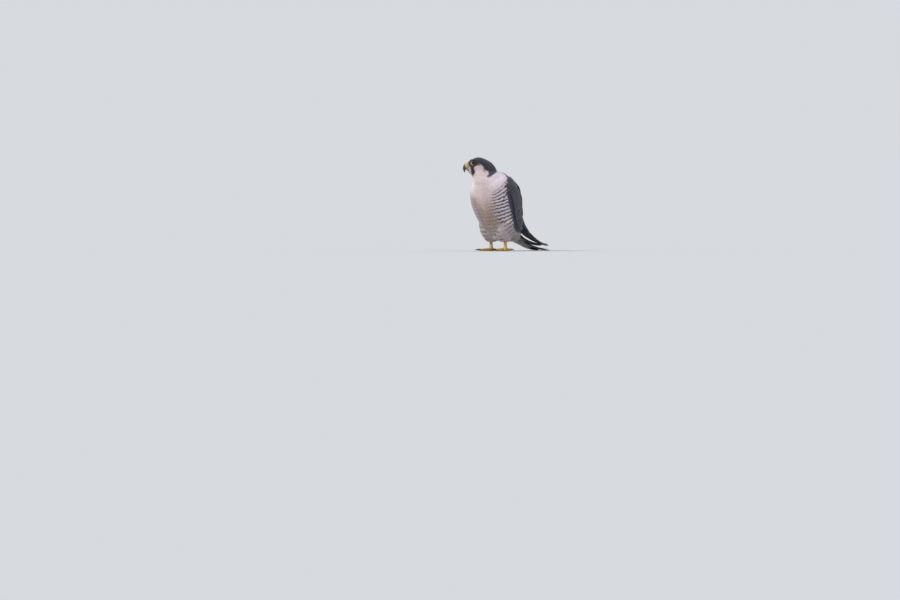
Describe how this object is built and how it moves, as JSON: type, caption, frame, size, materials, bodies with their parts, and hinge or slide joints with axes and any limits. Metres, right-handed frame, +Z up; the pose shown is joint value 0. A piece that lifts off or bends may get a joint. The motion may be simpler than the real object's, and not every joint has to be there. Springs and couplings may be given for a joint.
{
  "type": "peregrine falcon model",
  "caption": "Life-size still model of a small falcon standing upright, head turned to its right, wings folded, closed tail laid back on the floor.",
  "frame": {"origin": "on the floor under the middle of the model's box", "axes": "+Z up, the bird faces -Y, its left side is at +X and its tail points to +Y"},
  "size_m": [0.1424, 0.2992, 0.2533],
  "materials": {
    "body_plumage": "matte",
    "flight_plumage": "matte",
    "yellow_skin": "satin",
    "bill_horn": "gloss",
    "claw_horn": "gloss",
    "eye": "gloss"
  },
  "bodies": {
    "root": {"torso": "body_plumage", "neck": "body_plumage", "head": "body_plumage", "cere": "yellow_skin", "bill_upper": "bill_horn", "bill_lower": "bill_horn", "eye_left": "eye", "eye_right": "eye", "wing_left": "flight_plumage", "wing_right": "flight_plumage", "tail": "flight_plumage", "thigh_left": "body_plumage", "thigh_right": "body_plumage", "tarsus_left": "yellow_skin", "tarsus_right": "yellow_skin", "toe_left_inner": "yellow_skin", "claw_left_inner": "claw_horn", "toe_left_middle": "yellow_skin", "claw_left_middle": "claw_horn", "toe_left_outer": "yellow_skin", "claw_left_outer": "claw_horn", "toe_left_hind": "yellow_skin", "claw_left_hind": "claw_horn", "toe_right_inner": "yellow_skin", "claw_right_inner": "claw_horn", "toe_right_middle": "yellow_skin", "claw_right_middle": "claw_horn", "toe_right_outer": "yellow_skin", "claw_right_outer": "claw_horn", "toe_right_hind": "yellow_skin", "claw_right_hind": "claw_horn"}
  },
  "joints": []
}
